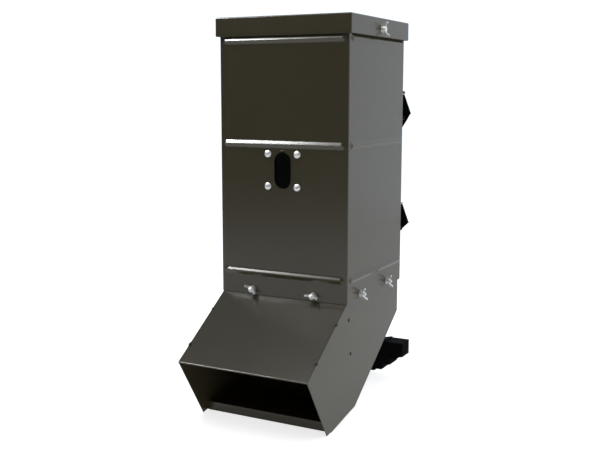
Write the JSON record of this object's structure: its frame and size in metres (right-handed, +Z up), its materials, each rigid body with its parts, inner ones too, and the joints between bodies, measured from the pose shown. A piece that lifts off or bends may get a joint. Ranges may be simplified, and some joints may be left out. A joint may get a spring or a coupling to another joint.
{
  "type": "gravity livestock feeder",
  "caption": "Tall sheet metal gravity feeder with slip-on lid, sight window and slanted chute with an open trough, hung on a tree or post by webbing straps.",
  "frame": {"origin": "middle of the upper bracket's bearing face, where the feeder leans on its tree or post", "axes": "+Z up along the hopper, +Y back into the tree, +X to the right of a viewer who faces the mouth"},
  "size_m": [0.295, 0.455, 0.7115],
  "materials": {
    "bronze_paint": "dark olive bronze powder coat, semi-gloss",
    "zinc_plate": "bright zinc plated steel",
    "dark_rivet": "darkened steel, satin",
    "clear_plastic": "clear plastic sheet",
    "rubber": "black rubber, matt",
    "webbing": "black woven webbing",
    "black_steel": "black coated pressed steel"
  },
  "bodies": {
    "feeder": {"baffle_rivet_left_lower": "dark_rivet", "baffle_rivet_left_upper": "dark_rivet", "baffle_rivet_right_lower": "dark_rivet", "baffle_rivet_right_upper": "dark_rivet", "chute_floor": "bronze_paint", "chute_hood": "bronze_paint", "chute_side_left": "bronze_paint", "chute_side_right": "bronze_paint", "collar_bolt_front_left": "zinc_plate", "collar_bolt_front_right": "zinc_plate", "collar_bolt_left_front": "zinc_plate", "collar_bolt_left_rear": "zinc_plate", "collar_bolt_right_front": "zinc_plate", "collar_bolt_right_rear": "zinc_plate", "feed_baffle": "bronze_paint", "hank_tie": "rubber", "hopper_back_panel": "bronze_paint", "hopper_shell": "bronze_paint", "lower_bracket": "bronze_paint", "lower_buckle_frame": "black_steel", "lower_cam_pin": "zinc_plate", "lower_rivet_left_foot": "dark_rivet", "lower_rivet_left_top": "dark_rivet", "lower_rivet_right_foot": "dark_rivet", "lower_rivet_right_top": "dark_rivet", "lower_strap_hank": "webbing", "lower_strap_run": "webbing", "upper_bracket": "bronze_paint", "upper_buckle_frame": "black_steel", "upper_cam_pin": "zinc_plate", "upper_rivet_left_foot": "dark_rivet", "upper_rivet_left_top": "dark_rivet", "upper_rivet_right_foot": "dark_rivet", "upper_rivet_right_top": "dark_rivet", "upper_strap_hank": "webbing", "upper_strap_run": "webbing", "window_gasket": "rubber", "window_nut_lower_left": "zinc_plate", "window_nut_lower_right": "zinc_plate", "window_nut_upper_left": "zinc_plate", "window_nut_upper_right": "zinc_plate", "window_pane": "clear_plastic", "window_screw_lower_left": "zinc_plate", "window_screw_lower_right": "zinc_plate", "window_screw_upper_left": "zinc_plate", "window_screw_upper_right": "zinc_plate"},
    "lid_cap": {"lid": "bronze_paint", "lid_nut_left": "zinc_plate", "lid_nut_right": "zinc_plate"},
    "lid_screw_left": {"lid_wing_screw_left": "zinc_plate"},
    "lid_screw_right": {"lid_wing_screw_right": "zinc_plate"},
    "lower_lever": {"lower_cam_lever": "black_steel"},
    "upper_lever": {"upper_cam_lever": "black_steel"},
    "nut_front_left": {"wing_nut_front_left": "zinc_plate"},
    "nut_front_right": {"wing_nut_front_right": "zinc_plate"},
    "nut_left_front": {"wing_nut_left_front": "zinc_plate"},
    "nut_left_rear": {"wing_nut_left_rear": "zinc_plate"},
    "nut_right_front": {"wing_nut_right_front": "zinc_plate"},
    "nut_right_rear": {"wing_nut_right_rear": "zinc_plate"}
  },
  "joints": [
    {"name": "lid_lift", "type": "slide", "parent": "feeder", "child": "lid_cap", "axis": [0, 0, 1], "range_m": [0, 0.12]},
    {"name": "lid_screw_left_turn", "type": "hinge", "parent": "lid_cap", "child": "lid_screw_left", "pos_m": [-0.1337, -0.1535, 0.1365], "axis": [-1, 0, 0], "continuous": true},
    {"name": "lid_screw_right_turn", "type": "hinge", "parent": "lid_cap", "child": "lid_screw_right", "pos_m": [0.1337, -0.1535, 0.1365], "axis": [1, 0, 0], "continuous": true},
    {"name": "nut_front_left_turn", "type": "hinge", "parent": "feeder", "child": "nut_front_left", "pos_m": [-0.0622, -0.278, -0.332], "axis": [0, -1, 0], "continuous": true},
    {"name": "nut_front_right_turn", "type": "hinge", "parent": "feeder", "child": "nut_front_right", "pos_m": [0.0622, -0.278, -0.332], "axis": [0, -1, 0], "continuous": true},
    {"name": "nut_right_front_turn", "type": "hinge", "parent": "feeder", "child": "nut_right_front", "pos_m": [0.1275, -0.2237, -0.332], "axis": [1, 0, 0], "continuous": true},
    {"name": "nut_right_rear_turn", "type": "hinge", "parent": "feeder", "child": "nut_right_rear", "pos_m": [0.1275, -0.099, -0.332], "axis": [1, 0, 0], "continuous": true},
    {"name": "nut_left_front_turn", "type": "hinge", "parent": "feeder", "child": "nut_left_front", "pos_m": [-0.1275, -0.2237, -0.332], "axis": [-1, 0, 0], "continuous": true},
    {"name": "nut_left_rear_turn", "type": "hinge", "parent": "feeder", "child": "nut_left_rear", "pos_m": [-0.1275, -0.099, -0.332], "axis": [-1, 0, 0], "continuous": true},
    {"name": "upper_lever_release", "type": "hinge", "parent": "feeder", "child": "upper_lever", "pos_m": [-0.07, 0.0148, 0], "axis": [0, 0, 1], "range_deg": [0, 60], "stiffness_Nm_per_rad": 0.2, "springref_deg": -28.65},
    {"name": "lower_lever_release", "type": "hinge", "parent": "feeder", "child": "lower_lever", "pos_m": [-0.07, 0.0148, -0.219], "axis": [0, 0, 1], "range_deg": [0, 60], "stiffness_Nm_per_rad": 0.2, "springref_deg": -28.65}
  ]
}
